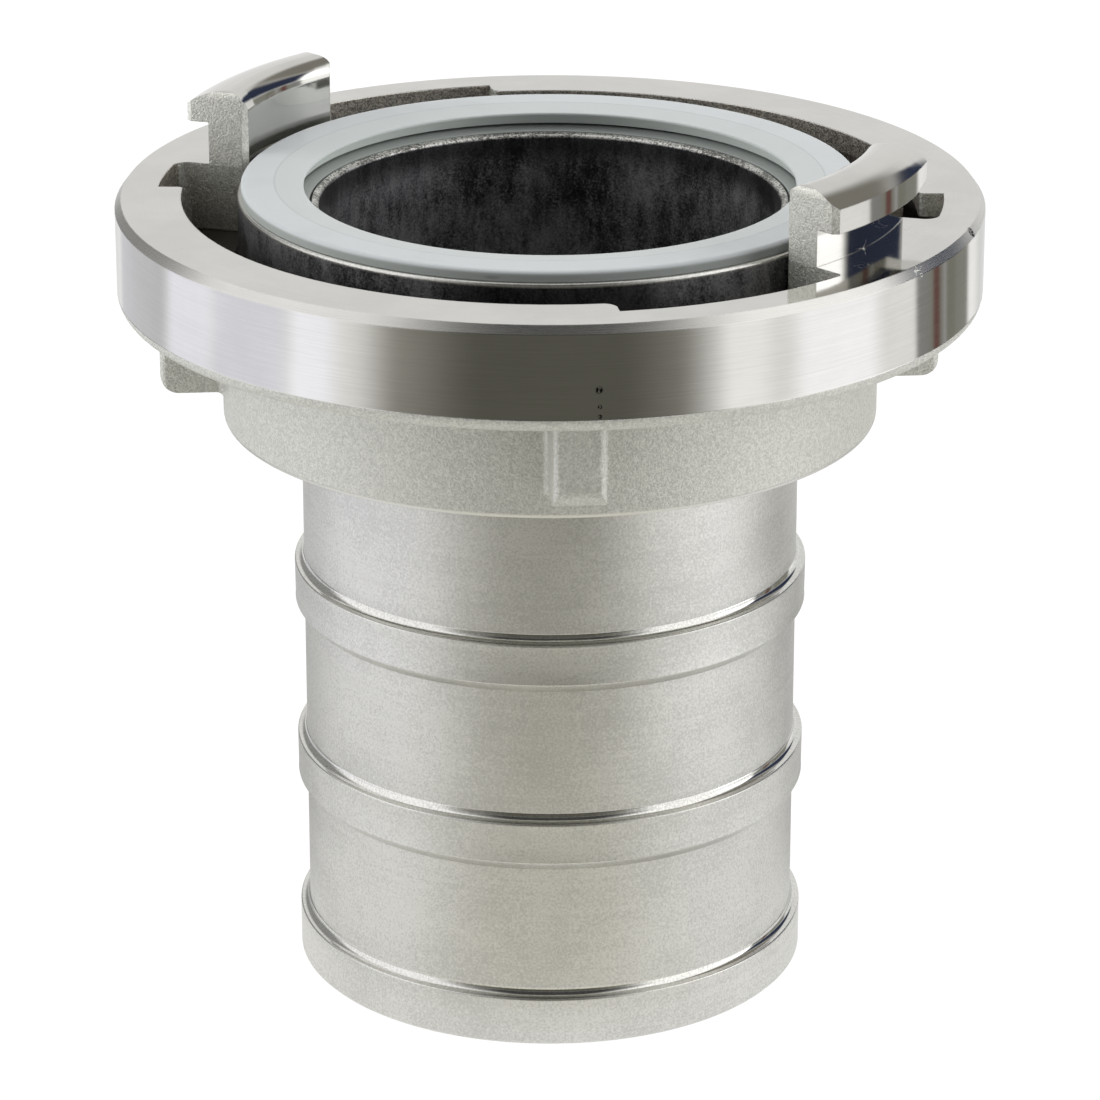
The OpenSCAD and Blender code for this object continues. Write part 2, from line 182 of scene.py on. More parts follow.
class Graph:
    """Builds the node tree of one material or world."""

    def __init__(self, tree: bpy.types.NodeTree) -> None:
        """Clears a tree and takes it over.

        Args:
            tree: The node tree to build in.
        """
        self.tree = tree
        tree.nodes.clear()
        self._coordinates: bpy.types.Node | None = None

    def node(self, kind: str, settings: dict[str, Any], inputs: dict[str, Any]) -> bpy.types.Node:
        """Adds one node.

        Args:
            kind: Blender's type name of the node.
            settings: Properties of the node, set first. The key stops fills a colour ramp.
            inputs: Values or links, by socket name or by index written as a number.

        Returns:
            The node.
        """
        made = self.tree.nodes.new(kind)
        for name, setting in settings.items():
            if name == "stops":
                self._fill_ramp(made, setting)
            else:
                setattr(made, name, setting)
        for name, content in inputs.items():
            socket = made.inputs[int(name)] if name.isdigit() else made.inputs[name]
            self._feed(socket, content)
        return made

    def _feed(self, socket: Socket, content: Any) -> None:
        """Sets or links one input socket.

        Args:
            socket: The input.
            content: A Value, an output socket, a number or a colour.
        """
        if isinstance(content, Value):
            self.tree.links.new(content.socket, socket)
        elif isinstance(content, Socket):
            self.tree.links.new(content, socket)
        elif isinstance(content, tuple) and socket.type == "RGBA":
            socket.default_value = (*content, 1.0)
        else:
            socket.default_value = content

    @staticmethod
    def _fill_ramp(made: bpy.types.Node, stops: Sequence[tuple[float, Colour]]) -> None:
        """Fills a colour ramp.

        Args:
            made: The ramp node.
            stops: Positions and colours, from left to right.
        """
        elements = made.color_ramp.elements
        while len(elements) < len(stops):
            elements.new(1.0)
        for element, (position, colour) in zip(elements, stops):
            element.position = position
            element.color = (*colour, 1.0)

    def math(self, operation: str, *operands: "Value | float") -> Value:
        """Adds a Math node.

        Args:
            operation: Name of the operation.
            operands: Values or numbers.

        Returns:
            The result.
        """
        inputs = {str(i): operand for i, operand in enumerate(operands)}
        return Value(self, self.node("ShaderNodeMath", {"operation": operation}, inputs).outputs[0])

    def coordinate(self, space: Space) -> Socket:
        """The piece's own coordinates or its own normal.

        Args:
            space: Which of the two.

        Returns:
            A vector socket.
        """
        if self._coordinates is None:
            self._coordinates = self.node("ShaderNodeTexCoord", {}, {})
        return self._coordinates.outputs[space.value]

    def parts(self, vector: Socket) -> tuple[Value, Value, Value]:
        """Splits a vector into its three components."""
        made = self.node("ShaderNodeSeparateXYZ", {}, {"0": vector})
        return Value(self, made.outputs[0]), Value(self, made.outputs[1]), Value(self, made.outputs[2])

    def joined(self, x: "Value | float", y: "Value | float", z: "Value | float") -> Socket:
        """Joins three components to a vector."""
        return self.node("ShaderNodeCombineXYZ", {}, {"0": x, "1": y, "2": z}).outputs[0]

    def noise(self, vector: Socket, pattern: Pattern) -> Value:
        """Adds a noise pattern.

        Args:
            vector: Where it is read.
            pattern: Its size and layers.

        Returns:
            A value round 0.5.
        """
        inputs = {
            "Vector": vector,
            "Scale": pattern.scale,
            "Detail": pattern.detail,
            "Roughness": pattern.rough,
        }
        return Value(self, self.node("ShaderNodeTexNoise", {}, inputs).outputs[0])

    def near(self, vector: Socket, place: Place, reach: float) -> Value:
        """A soft spot round a place.

        Args:
            vector: The shaded point.
            place: Middle of the spot, in millimetres.
            reach: Radius of the spot, in millimetres.

        Returns:
            1 at the middle and 0 outside.
        """
        middle = tuple(c * MM for c in place)
        made = self.node("ShaderNodeVectorMath", {"operation": "DISTANCE"}, {"0": vector, "1": middle})
        return Value(self, made.outputs["Value"]).rise(reach * MM, reach * MM * SPOT_CORE)

    def marks(self, vector: Socket, places: Iterable[Mark]) -> Value:
        """Soft spots round several places.

        Args:
            vector: The shaded point.
            places: Middle and radius of each spot, in millimetres.

        Returns:
            1 in the spots and 0 outside them.
        """
        made = 0.0
        for place, reach in places:
            made = self.near(vector, place, reach) + made
        return made.least(1.0)

    def blend(self, factor: "Value | float", first: Any, second: Any) -> Socket:
        """Mixes two colours.

        Args:
            factor: 0 gives the first and 1 the second.
            first: Colour or colour socket.
            second: Colour or colour socket.

        Returns:
            The mixed colour.
        """
        made = self.node("ShaderNodeMix", {"data_type": "RGBA"}, {"0": factor, "6": first, "7": second})
        return made.outputs[2]

    def layered(self, base: Any, *layers: tuple[Value, Any]) -> Socket:
        """Lays colours over one another.

        Args:
            base: The lowest colour or colour socket.
            layers: The mask and the colour of each layer, from the lowest up.

        Returns:
            The layered colour.
        """
        for mask, shade in layers:
            base = self.blend(mask, base, shade)
        return base

    def bump(self, height: Value, strength: float, normal: Socket | None = None) -> Socket:
        """Turns a height in metres into a normal.

        Args:
            height: The height.
            strength: Strength of the effect.
            normal: A normal to start from.

        Returns:
            The new normal.
        """
        inputs: dict[str, Any] = {"Strength": strength, "Distance": 1.0, "Height": height}
        if normal is not None:
            inputs["Normal"] = normal
        return self.node("ShaderNodeBump", {}, inputs).outputs[0]

    def surface(self, inputs: dict[str, Any]) -> None:
        """Adds the surface shader and the output.

        Args:
            inputs: Values or links of the shader.
        """
        shader = self.node("ShaderNodeBsdfPrincipled", {}, inputs)
        self.node("ShaderNodeOutputMaterial", {}, {"Surface": shader.outputs[0]})


def new_material(name: str) -> tuple[bpy.types.Material, Graph]:
    """Makes an empty material.

    Args:
        name: Its name.

    Returns:
        The material and the graph of its nodes.
    """
    material = bpy.data.materials.new(name)
    material.use_nodes = True
    return material, Graph(material.node_tree)


@dataclass(frozen=True)
class Spot:
    """Where a shaded point lies on a piece that is turned about the Z axis."""

    point: Socket
    radius: Value
    height: Value
    swept: Socket
    along: Value
    upward: Value
    drawn_out: ClassVar[float] = 0.0009

    @classmethod
    def of(cls, graph: Graph) -> "Spot":
        """Works out radius and height in millimetres, and the normal's components about the axis.

        Args:
            graph: The graph of the material.

        Returns:
            The position. Patterns read at swept are drawn out round the axis, as tool marks are.
        """
        point = graph.coordinate(Space.OBJECT)
        x, y, z = graph.parts(point)
        nx, ny, nz = graph.parts(graph.coordinate(Space.NORMAL))
        radius = graph.math("SQRT", x * x + y * y).most(AXIS_GAP)
        along = (ny * x - nx * y) / radius
        swept = graph.joined(radius, z, x / radius * cls.drawn_out)
        return cls(point, radius * (1.0 / MM), z * (1.0 / MM), swept, along, nz)


@dataclass(frozen=True)
class RingFinish:
    """Finish of the claw ring: a blasted forging with a machined rim, face and claws."""

    name: str = "forged_ring"
    bright: Colour = (0.62, 0.61, 0.575)
    cast: Colour = (0.615, 0.613, 0.565)
    fresh: float = 1.37
    pocket: Colour = (0.50, 0.465, 0.41)
    # Colour of the painted shade low in the pockets
    grime: Colour = (0.032, 0.026, 0.02)
    face_z: float = 119.0
    band_low: float = 105.7
    floor_z: float = 108.8
    collar_z: float = 86.0
    collar_r: float = 48.0
    pocket_r: float = 57.0
    chamfer_r: float = 62.0
    chamfer_z: float = 117.85
    edge_round: float = 0.22
    edge_samples: int = 2
    nick: Colour = (0.012, 0.012, 0.014)
    grain: Pattern = Pattern(3300.0, 3.0, 0.65)
    pits: Pattern = Pattern(1400.0, 2.0)
    clouds: Pattern = Pattern(80.0, 3.0, 0.6)
    fine_lines: Pattern = Pattern(6500.0, 2.0, 0.6)
    wide_lines: Pattern = Pattern(1500.0, 2.0)
    hair: Pattern = Pattern(420.0, 2.0)
    nicks: tuple[Mark, ...] = (
        ((6.6, -62.7, 110.0), 0.65),
        ((6.7, -62.6, 107.6), 0.4),
        ((6.7, -62.6, 106.2), 0.4),
        ((59.7, -18.8, 118.5), 1.0),
        ((6.1, -56.8, 91.4), 0.5),
        ((-44.1, -36.3, 100.6), 0.6),
    )
    scratches: tuple[Mark, ...] = (
        ((51.9, -19.0, 119.0), 2.6),
        ((44.0, -28.0, 119.0), 1.6),
        ((43.1, -35.8, 119.0), 1.6),
        ((54.8, 3.5, 119.0), 1.4),
        ((51.4, -36.4, 118.5), 1.5),
    )

    def build(self) -> bpy.types.Material:
        """Makes the material."""
        material, g = new_material(self.name)
        at = Spot.of(g)
        # Where the metal is left as cast: below the rim, on the claws' ends and in the pockets
        below = at.height.rise(self.band_low + 0.08, self.band_low - 0.08)
        ends = abs(at.along).rise(0.5, 0.66) * at.height.rise(self.floor_z, self.floor_z + 0.3)
        inside = at.radius.rise(self.pocket_r + 0.3, self.pocket_r) * at.height.band(
            self.floor_z - 0.2, self.face_z - 0.1, 0.2
        )
        cast = below.most(ends).most(inside)
        # Colour, from machined and blasted metal to the pocket walls, which carry painted shade that darkens
        # them towards the pocket floor
        grain = g.noise(at.point, self.grain)
        pits = g.noise(at.point, self.pits)
        clouds = g.noise(at.point, self.clouds)
        lines = g.noise(at.swept, self.fine_lines)
        wide_lines = g.noise(at.swept, self.wide_lines)
        rim = at.height.rise(self.face_z, self.chamfer_z)
        tooled = (clouds * 0.8 + lines * 0.2) * (1.0 - rim) + (clouds * 0.5 + lines * 0.5) * rim
        machined = g.blend(tooled.rise(0.34, 0.66), scaled(self.bright, 0.93), scaled(self.bright, 1.02))
        speckle = (grain * 0.75 + pits * 0.25).rise(0.36, 0.64)
        sheared = g.blend(speckle, scaled(self.cast, 0.75 * self.fresh), scaled(self.cast, 1.12 * self.fresh))
        blasted = g.layered(scaled(self.cast, 0.79), (speckle, scaled(self.cast, 1.11)), (ends, sheared))
        # Painted shade: the pocket walls grow darker towards the pocket floor
        grime = at.height.rise(self.face_z - 4.5, self.floor_z + 1.0)
        walls = g.layered(
            scaled(self.pocket, 0.5), (speckle, scaled(self.pocket, 1.45)), (grime * 0.95, self.grime)
        )
        # The collar's lower edge, worn smoother and painted lighter as a painted highlight, and the nicks and
        # scratches
        worn_highlit = at.height.band(self.collar_z - 1.0, self.collar_z + 0.55, 0.3) * at.radius.rise(
            self.collar_r - 1.0, self.collar_r - 0.4
        )
        struck = g.marks(at.point, self.nicks) * grain.rise(0.42, 0.5)
        hair = abs(g.noise(at.point, self.hair) - 0.5).rise(0.012, 0.004)
        scratched = g.marks(at.point, self.scratches) * hair
        colour = g.layered(
            machined,
            (cast, blasted),
            (inside * (1.0 - ends), walls),
            (worn_highlit * 0.8, scaled(self.bright, 1.25)),
            (scratched * 0.8, scaled(self.bright, 1.4)),
            (struck, self.nick),
        )
        # Gloss and relief
        chamfer = at.height.band(self.chamfer_z, self.face_z - 0.05, 0.1) * at.radius.rise(
            self.chamfer_r - 0.3, self.chamfer_r
        )
        smooth = 0.03 + (0.02 + 0.03 * rim) * lines + 0.05 * wide_lines + 0.35 * scratched + 0.2 * chamfer
        roughness = (1.0 - cast) * smooth + cast * (0.44 + 0.15 * pits)
        roughness = roughness - 0.18 * worn_highlit + 0.3 * struck
        height = cast * (1.0 - worn_highlit) * (grain * (0.15 * MM) + pits * (0.1 * MM))
        turned = lines * (0.002 * MM) + wide_lines * (0.005 * MM)
        height = height + (1.0 - cast) * (0.3 + 0.7 * rim) * turned
        edge = g.node("ShaderNodeBevel", {"samples": self.edge_samples}, {"Radius": self.edge_round * MM})
        g.surface(
            {
                "Base Color": colour,
                "Metallic": 1.0 - 0.3 * cast * (1.0 - worn_highlit.most(inside)),
                "Roughness": roughness,
                "Normal": g.bump(height, 0.8, edge.outputs[0]),
            }
        )
        return material


@dataclass(frozen=True)
class TailFinish:
    """Finish of the hose tail: satin turned outside, dark and mottled in the bore and round the head, with
    painted light patches and painted shade there.
    """

    name: str = "turned_tail"
    satin: Colour = (0.69, 0.683, 0.645)
    dark: Colour = (0.21, 0.21, 0.22)
    dirt: Colour = (0.10, 0.095, 0.085)
    bore_r: float = 33.5
    head_r: float = 45.3
    head_top_z: float = 119.3
    mouth_z: float = 117.5
    land_z: float = 7.4
    rib_pitch: float = 27.8
    rib_count: int = 3
    shoulder: float = 1.2
    fine_lines: Pattern = Pattern(5200.0, 2.0, 0.6)
    feed: Pattern = Pattern(1300.0, 2.0, 0.55)
    clouds: Pattern = Pattern(55.0, 3.0, 0.62)
    specks: Pattern = Pattern(2900.0, 3.0, 0.65)
    stains: Pattern = Pattern(110.0, 5.0, 0.7)
    drips: Pattern = Pattern(620.0, 3.0, 0.65)
    drip_stretch: float = 0.3
    # Low noise that lays lighter patches into the soot as painted light
    patches: Pattern = Pattern(26.0, 2.0)
    # A spot of painted shade on the front of the wall round the head
    darkest: Mark = ((0.0, -45.3, 114.0), 19.0)

    def build(self) -> bpy.types.Material:
        """Makes the material."""
        material, g = new_material(self.name)
        at = Spot.of(g)
        # Where the metal is dark: in the bore and on the wall round the head
        bore = at.radius.rise(self.bore_r + 0.1, self.bore_r + 0.04) * at.height.rise(
            self.mouth_z, self.mouth_z - 0.5
        )
        wall = at.radius.rise(self.head_r - 0.3, self.head_r - 0.05) * at.height.rise(
            self.head_top_z - 0.35, self.head_top_z - 0.8
        )
        dark = bore.most(wall)
        # Satin metal outside, with dirt that gathers on the polished rib shoulders
        lines = g.noise(at.swept, self.fine_lines)
        feed = g.noise(at.swept, self.feed)
        clouds = g.noise(at.point, self.clouds)
        specks = g.noise(at.point, self.specks)
        stains = g.noise(at.point, self.stains)
        patches = g.noise(at.point, self.patches)
        x, y, z = g.parts(at.point)
        drips = g.noise(g.joined(x, y, z * self.drip_stretch), self.drips)
        satin = (clouds * 0.3 + feed * 0.1 + specks * 0.6).rise(0.38, 0.62)
        polished = 0.0
        for rib in range(self.rib_count):
            land = self.land_z + rib * self.rib_pitch
            polished = at.height.band(land - 0.1, land + self.shoulder, 0.25) + polished
        polished = polished.least(1.0)
        near_rib = 0.3 + 0.7 * polished
        dirty = (stains * 0.5 + specks * 0.5).rise(0.60, 0.66) * near_rib
        # Soot inside, mottled, with lighter patches that are painted light, sparkle specks, and painted shade
        # under the mouth, deep down in the bore and at the head's front
        mottle_and_light = (stains * 0.3 + drips * 0.2 + specks * 0.3 + patches * 0.2).rise(0.4, 0.62)
        sparkle = (specks * 0.7 + drips * 0.3).rise(0.54, 0.62)
        painted_shade = at.height.band(self.mouth_z - 3.5, self.mouth_z + 1.0, 4.0).most(
            at.height.band(self.mouth_z - 36.0, self.mouth_z - 22.0, 6.0)
        ) * bore
        painted_shade = painted_shade.most(g.near(at.point, *self.darkest))
        soot_and_shade = g.layered(
            scaled(self.dark, 0.14),
            (mottle_and_light, scaled(self.dark, 1.9)),
            (sparkle * 0.5, scaled(self.satin, 0.6)),
            (painted_shade * 0.75, scaled(self.dark, 0.08)),
        )
        # The stained edge of the mouth
        mouth = at.radius.band(self.bore_r - 0.3, self.bore_r + 1.4, 0.2) * at.height.band(
            self.mouth_z - 0.6, self.mouth_z + 0.5, 0.2
        )
        worn_mouth = mouth * (stains * 0.4 + specks * 0.6).rise(0.53, 0.46)
        colour = g.layered(
            scaled(self.satin, 0.80),
            (satin, scaled(self.satin, 1.06)),
            (dirty * 0.75, self.dirt),
            (worn_mouth * 0.85, self.dirt),
            (dark, soot_and_shade),
        )
        # Gloss and relief
        satin_rough = (1.0 - polished) * (0.36 + 0.08 * clouds + 0.08 * lines) + 0.07 * polished
        rim = at.radius.rise(self.head_r - 1.2, self.head_r - 0.8) * at.height.rise(
            self.head_top_z - 0.9, self.head_top_z - 0.6
        )
        satin_rough = satin_rough - 0.16 * rim
        roughness = (1.0 - dark) * satin_rough + dark * (0.22 + 0.22 * stains)
        turned = lines * (0.005 * MM) + feed * (0.006 * MM) + specks * (0.03 * MM)
        height = (1.0 - dark) * (1.0 - polished) * turned + dark * (specks * (0.06 * MM))
        g.surface(
            {
                "Base Color": colour,
                "Metallic": 1.0 - 0.25 * dark,
                "Roughness": roughness,
                "Normal": g.bump(height, 0.8),
            }
        )
        return material


@dataclass(frozen=True)
class RubberFinish:
    """Finish of the seal: pale matte rubber, greener and darker on its side as painted shade, lightened on
    its undercut wall as painted light, and darkened on its foot as painted shade.
    """

    name: str = "seal_rubber"
    pale: Colour = (0.475, 0.497, 0.505)
    # The side's colour: greener than the top, and darker as painted shade
    green: Colour = (0.34, 0.365, 0.35)
    smudged: Colour = (0.22, 0.23, 0.23)
    greasy: Colour = (0.11, 0.11, 0.10)
    ior: float = 1.5
    step_r: float = 39.9
    lip_z: float = 120.0
    lip_r: float = 37.2
    foot_z: float = 118.3
    dust: Pattern = Pattern(120.0, 5.0, 0.62)
    smudge: Pattern = Pattern(42.0)
    fine: Pattern = Pattern(3200.0, 2.0, 0.6)
    smear: Pattern = Pattern(1500.0, 3.0, 0.6)
    moulded: Pattern = Pattern(900.0, 2.0)
    grease: tuple[Mark, ...] = (
        ((-8.2, -45.1, 121.0), 2.2),
        ((17.8, -43.3, 121.0), 3.0),
        ((17.2, 27.2, 121.0), 0.7),
    )

    def build(self) -> bpy.types.Material:
        """Makes the material."""
        material, g = new_material(self.name)
        at = Spot.of(g)
        # Pale on top; the side greener and darker, a painted shade by which way the face points; with dust,
        # smudges and the step line
        facing = at.upward.rise(0.1, 0.55) * at.height.rise(self.lip_z - 0.3, self.lip_z)
        dust = g.noise(at.point, self.dust)
        smudge = g.noise(at.point, self.smudge).rise(0.62, 0.78)
        fine = g.noise(at.point, self.fine)
        step = at.radius.band(self.step_r - 0.12, self.step_r + 0.12, 0.25) * facing
        inner = at.radius.rise(self.step_r + 0.4, self.step_r - 0.4) * facing
        # The undercut wall, lightened as painted light, the foot under the lip, darkened as painted shade,
        # and the grease
        within = at.radius.rise(self.lip_r + 0.2, self.lip_r - 0.2)
        wall = within * at.height.band(self.foot_z, self.lip_z + 0.25, 0.15)
        foot = within * at.height.rise(self.foot_z, self.foot_z - 0.15)
        greased = g.marks(at.point, self.grease) * g.noise(at.swept, self.smear).rise(0.52, 0.62)
        colour = g.layered(
            self.green,
            (facing, self.pale),
            (dust.rise(0.45, 0.8) * 0.3, scaled(self.pale, 0.84)),
            (smudge * 0.16, self.smudged),
            (step * 0.5, scaled(self.pale, 0.6)),
            (inner * 0.4, scaled(self.green, 1.28)),
            (wall * 0.9, scaled(self.green, 1.95)),
            (foot * 0.9, scaled(self.green, 0.66)),
            (greased * 0.7, self.greasy),
        )
        moulded = g.noise(at.swept, self.moulded)
        g.surface(
            {
                "Base Color": colour,
                "Roughness": 0.40 + 0.14 * dust,
                "IOR": self.ior,
                "Normal": g.bump(fine * (0.025 * MM) + moulded * (0.01 * MM), 0.6),
            }
        )
        return material


@dataclass(frozen=True)
class WireFinish:
    """Finish of the snap ring: drawn spring wire, bright with fine lines."""

    name: str = "spring_wire"
    steel: Colour = (0.50, 0.50, 0.49)
    drawn: Pattern = Pattern(5200.0, 3.0, 0.6)
    tint: Pattern = Pattern(220.0)

    def build(self) -> bpy.types.Material:
        """Makes the material."""
        material, g = new_material(self.name)
        at = Spot.of(g)
        drawn = g.noise(at.swept, self.drawn)
        tint = g.noise(at.point, self.tint)
        g.surface(
            {
                "Base Color": g.blend(tint.rise(0.4, 0.7), scaled(self.steel, 0.8), self.steel),
                "Metallic": 1.0,
                "Roughness": 0.24 + 0.14 * drawn,
                "Normal": g.bump(drawn * (0.006 * MM), 0.6),
            }
        )
        return material


@dataclass
class Outline:
    """A closed outline in the half plane of radius and height, in millimetres."""

    points: list[Point] = field(default_factory=list)
    steps: int = 5
    support: float = 0.15
    side_share: float = 0.4
    gap_share: float = 0.3

    def corners(self, corners: Sequence[tuple[float, float, float]]) -> "Outline":
        """Adds corners with their roundings.

        Args:
            corners: Radius, height and rounding of each corner. The outline is closed.

        Returns:
            This outline.
        """
        count = len(corners)
        for i, (r, z, rounding) in enumerate(corners):
            here = Vector((r, z))
            back = Vector(corners[i - 1][:2]) - here
            ahead = Vector(corners[(i + 1) % count][:2]) - here
            if rounding <= 0.0:
                self.points.append((r, z))
                continue
            self._round(here, back, ahead, rounding)
        return self

    def _round(self, here: Vector, back: Vector, ahead: Vector, rounding: float) -> None:
        """Adds the arc of one rounded corner, with a point on either side that keeps the flats flat.

        Args:
            here: The corner.
            back: Way to the corner before.
            ahead: Way to the corner after.
            rounding: Radius of the arc.
        """
        to_back, to_ahead = back.normalized(), ahead.normalized()
        half = to_back.angle(to_ahead) / 2
        share = self.side_share
        reach = min(rounding / math.tan(half), share * back.length, share * ahead.length)
        radius = reach * math.tan(half)
        middle = here + (to_back + to_ahead).normalized() * (radius / math.sin(half))
        start, end = here + to_back * reach, here + to_ahead * reach
        share = self.gap_share
        gap = min(self.support, share * (back.length - reach), share * (ahead.length - reach))
        self.points.append(tuple(start + to_back * gap))
        first, last = start - middle, end - middle
        turn = first.angle_signed(last)
        for step in range(self.steps + 1):
            angle = turn * step / self.steps
            c, s = math.cos(-angle), math.sin(-angle)
            turned = (c * first.x - s * first.y, s * first.x + c * first.y)
            self.points.append((middle.x + turned[0], middle.y + turned[1]))
        self.points.append(tuple(end + to_ahead * gap))

    def arc(self, r: float, z: float, radius: float, start: float, end: float, steps: int) -> "Outline":
        """Adds an arc.

        Args:
            r: Radius of its middle from the axis.
            z: Height of its middle.
            radius: Its own radius.
            start: First angle in degrees, from outwards towards up.
            end: Last angle in degrees.
            steps: Number of chords.

        Returns:
            This outline.
        """
        for step in range(steps + 1):
            angle = math.radians(start + (end - start) * step / steps)
            self.points.append((r + radius * math.cos(angle), z + radius * math.sin(angle)))
        return self

    def curve(self, name: str, core: float) -> bpy.types.Object:
        """Draws the outline as a closed curve that the turning tree sweeps about the axis.

        Args:
            name: Name of the curve.
            core: Radius of the circle that it is swept along, in metres.

        Returns:
            The curve's object.
        """
        data = bpy.data.curves.new(name, "CURVE")
        data.dimensions = "3D"
        spline = data.splines.new("POLY")
        spline.points.add(len(self.points) - 1)
        for target, (r, z) in zip(spline.points, self.points):
            target.co = (r * MM - core, -z * MM, 0.0, 1.0)
        spline.use_cyclic_u = True
        return placed(name, data)


class GeometryTree:
    """Builds a Geometry Nodes tree with named inputs."""

    def __init__(self, name: str) -> None:
        """Starts a tree that takes and gives a geometry.

        Args:
            name: Name of the tree.
        """
        self.tree = bpy.data.node_groups.new(name, "GeometryNodeTree")
        self.names: dict[str, str] = {}
        self.tree.interface.new_socket("Geometry", in_out="INPUT", socket_type="NodeSocketGeometry")
        self.tree.interface.new_socket("Geometry", in_out="OUTPUT", socket_type="NodeSocketGeometry")
        self.start = self.tree.nodes.new("NodeGroupInput")
        self.end = self.tree.nodes.new("NodeGroupOutput")

    def input(self, name: str, kind: str) -> Socket:
        """Adds a named input.

        Args:
            name: Name of the input.
            kind: Short type name of its socket, such as Int, Float, Object or Material.

        Returns:
            The socket that gives its value inside the tree.
        """
        made = self.tree.interface.new_socket(name, in_out="INPUT", socket_type=f"NodeSocket{kind}")
        self.names[name] = made.identifier
        return self.start.outputs[name]

    def node(self, kind: str, **inputs: Socket) -> bpy.types.Node:
        """Adds one node.

        Args:
            kind: Type name of the node, without its first words.
            inputs: Links by socket name, with an underscore for each space.

        Returns:
            The node.
        """
        made = self.tree.nodes.new(f"GeometryNode{kind}")
        for name, source in inputs.items():
            self.tree.links.new(source, made.inputs[name.replace("_", " ")])
        return made

    def circle(self) -> Socket:
        """Adds the circle about the axis, with its inputs Segments and Core radius."""
        segments, core = self.input("Segments", "Int"), self.input("Core radius", "Float")
        return self.node("CurvePrimitiveCircle", Resolution=segments, Radius=core).outputs[0]

    def turned(self, circle: Socket, profile: Socket) -> Socket:
        """Sweeps a closed outline along a circle.

        Args:
            circle: The circle about the axis.
            profile: The outline.

        Returns:
            The turned mesh.
        """
        return self.node("CurveToMesh", Curve=circle, Profile_Curve=profile).outputs[0]

    def finish(self, geometry: Socket, material: Socket) -> None:
        """Ends the tree in Realize Instances and Set Material.

        Args:
            geometry: What the tree has made.
            material: The material input.
        """
        smooth = self.node("SetShadeSmooth", Geometry=geometry)
        real = self.node("RealizeInstances", Geometry=smooth.outputs[0])
        dressed = self.node("SetMaterial", Geometry=real.outputs[0], Material=material)
        self.tree.links.new(dressed.outputs[0], self.end.inputs[0])

    def apply(self, source: bpy.types.Object, values: dict[str, Any], name: str) -> bpy.types.Object:
        """Runs the tree on an object and keeps the result as a plain mesh.

        Args:
            source: The object that the tree starts from. It is removed.
            values: Value of each named input.
            name: Name of the new piece.

        Returns:
            The new piece.
        """
        modifier = source.modifiers.new("tree", "NODES")
        modifier.node_group = self.tree
        for label, value in values.items():
            modifier[self.names[label]] = value
        graph = bpy.context.evaluated_depsgraph_get()
        mesh = bpy.data.meshes.new_from_object(source.evaluated_get(graph))
        source.modifiers.remove(modifier)
        bpy.data.objects.remove(source)
        mesh.name = name
        return placed(name, mesh)


def turning_tree() -> GeometryTree:
    """The tree that turns one outline about the axis."""
    tree = GeometryTree("turning")
    circle = tree.circle()
    material = tree.input("Material", "Material")
    tree.finish(tree.turned(circle, tree.start.outputs["Geometry"]), material)
    return tree


def ribbed_tree() -> GeometryTree:
    """The tree that turns an outline and sets equal ribs on it, one pitch apart."""
    tree = GeometryTree("ribbed_turning")
    circle = tree.circle()
    rib = tree.input("Rib outline", "Object")
    count = tree.input("Rib count", "Int")
    first = tree.input("First rib", "Vector")
    pitch = tree.input("Rib pitch", "Vector")
    material = tree.input("Material", "Material")
    body = tree.turned(circle, tree.start.outputs["Geometry"])
    turned_rib = tree.turned(circle, tree.node("ObjectInfo", Object=rib).outputs["Geometry"])
    row = tree.node("MeshLine", Count=count, Start_Location=first, Offset=pitch)
    ribs = tree.node("InstanceOnPoints", Points=row.outputs[0], Instance=turned_rib)
    both = tree.node("JoinGeometry")
    tree.tree.links.new(body, both.inputs[0])
    tree.tree.links.new(ribs.outputs[0], both.inputs[0])
    tree.finish(both.outputs[0], material)
    return tree


def check_outward(piece: bpy.types.Object) -> None:
    """Turns a closed piece's faces outwards if its volume comes out negative.

    Args:
        piece: The piece.
    """
    mesh = piece.data
    mesh.calc_loop_triangles()
    volume = 0.0
    for triangle in mesh.loop_triangles:
        a, b, c = (mesh.vertices[i].co for i in triangle.vertices)
        volume += a.dot(b.cross(c)) / 6.0
    if volume < 0.0:
        mesh.flip_normals()
    LOG.info("%s: %d faces, %.1f cm3", piece.name, len(mesh.polygons), abs(volume) * 1e6)


